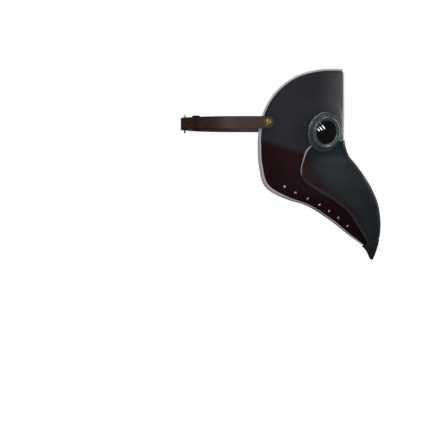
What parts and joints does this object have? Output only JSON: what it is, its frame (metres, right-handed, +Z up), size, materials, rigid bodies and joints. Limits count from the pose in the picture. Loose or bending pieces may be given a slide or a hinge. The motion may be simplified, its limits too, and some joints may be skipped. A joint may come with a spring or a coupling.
{
  "type": "plague doctor mask",
  "caption": "Beaked full-face leather mask with round goggles, a riveted beak and a buckled head strap that swings on temple studs.",
  "frame": {"origin": "bridge of the wearer's nose, at eye height on the centre plane of the mask", "axes": "+X forward along the beak, +Y to the wearer's left, +Z up towards the forehead"},
  "size_m": [0.3296, 0.1788, 0.3135],
  "materials": {
    "oxblood_leather": "dark oxblood painted leather, satin, darkening to grey on the forehead",
    "slate_leather": "slate grey painted leather, semi-gloss",
    "tip_leather": "hardened leather, dark slate, satin",
    "underside_leather": "thin split leather, near black, matt",
    "crease_leather": "light grey leather strip, satin",
    "ridge_leather": "black leather strip, satin",
    "edge_piping": "rolled leather piping, lilac grey, satin",
    "nickel_rivets": "nickel plated, lightly tarnished",
    "steel_washers": "plain steel washer",
    "socket_black": "satin black moulded plastic",
    "bezel_black": "satin black moulded plastic",
    "lens_black": "polished black tinted lens",
    "gasket_rubber": "black rubber",
    "lock_ring_black": "matt black moulded plastic",
    "stud_brass": "antique brass",
    "strap_leather": "dark brown bridle leather",
    "eyelet_brass": "antique brass",
    "buckle_steel": "nickel plated wire",
    "keeper_leather": "dark brown bridle leather"
  },
  "bodies": {
    "mask": {"face_panel_right": "oxblood_leather", "face_panel_left": "oxblood_leather", "beak_shell_right": "slate_leather", "beak_shell_left": "slate_leather", "beak_tip": "tip_leather", "beak_underside": "underside_leather", "crease_welt": "crease_leather", "beak_welt": "ridge_leather", "edge_piping_right": "edge_piping", "edge_piping_left": "edge_piping", "beak_rivets_right": "nickel_rivets", "beak_rivets_left": "nickel_rivets", "rivet_washers_right": "steel_washers", "rivet_washers_left": "steel_washers", "eye_socket_right": "socket_black", "eye_socket_left": "socket_black", "eye_bezel_right": "bezel_black", "eye_bezel_left": "bezel_black", "eye_lens_right": "lens_black", "eye_lens_left": "lens_black", "lens_gasket_right": "gasket_rubber", "lens_gasket_left": "gasket_rubber", "eye_lock_ring_right": "lock_ring_black", "eye_lock_ring_left": "lock_ring_black", "pivot_stud_right": "stud_brass", "pivot_stud_left": "stud_brass"},
    "harness": {"strap_short": "strap_leather", "strap_long": "strap_leather", "strap_eyelets": "eyelet_brass", "strap_rivets": "nickel_rivets", "buckle_frame": "buckle_steel"},
    "prong": {"buckle_prong": "buckle_steel"},
    "keeper": {"strap_keeper": "keeper_leather"}
  },
  "joints": [
    {"name": "harness_swing", "type": "hinge", "parent": "mask", "child": "harness", "pos_m": [-0.066, 0, 0.011], "axis": [0, 1, 0], "range_deg": [-50, 90]},
    {"name": "prong_swing", "type": "hinge", "parent": "harness", "child": "prong", "pos_m": [-0.20166, -0.01247, 0.011], "axis": [0, 0, 1], "range_deg": [0, 5]},
    {"name": "keeper_slide", "type": "slide", "parent": "harness", "child": "keeper", "axis": [-0.6184, 0.7859, 0], "range_m": [-0.004, 0.004]}
  ]
}
